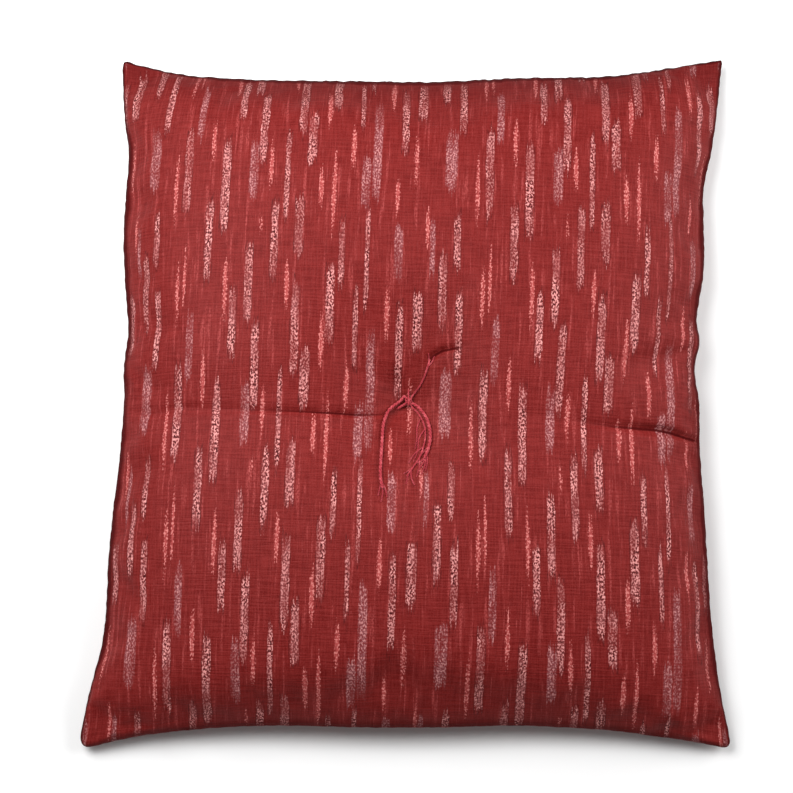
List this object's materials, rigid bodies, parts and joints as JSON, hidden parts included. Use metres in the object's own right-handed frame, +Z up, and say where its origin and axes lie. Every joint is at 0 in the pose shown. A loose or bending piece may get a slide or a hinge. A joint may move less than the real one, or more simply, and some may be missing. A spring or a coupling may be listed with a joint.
{
  "type": "zabuton floor cushion",
  "caption": "Square Japanese floor cushion of streaked red cotton, filled with wadding and tied through its middle with a thick thread.",
  "frame": {"origin": "on the underside, below the middle of the outline", "axes": "+Z up through the thickness, +Y towards the back edge along the longer side, +X to the right"},
  "size_m": [0.5522, 0.5995, 0.076],
  "materials": {
    "cover_cloth": "matt plain-woven cotton, dark red with brushed streaks of cream, salmon and lilac",
    "tie_thread": "soft crimson cotton thread of several loose strands"
  },
  "bodies": {
    "root": {"cushion": "cover_cloth", "tie_knot": "tie_thread", "tie_end_left": "tie_thread", "tie_end_right": "tie_thread", "tie_end_middle": "tie_thread", "tie_end_back": "tie_thread"}
  },
  "joints": []
}
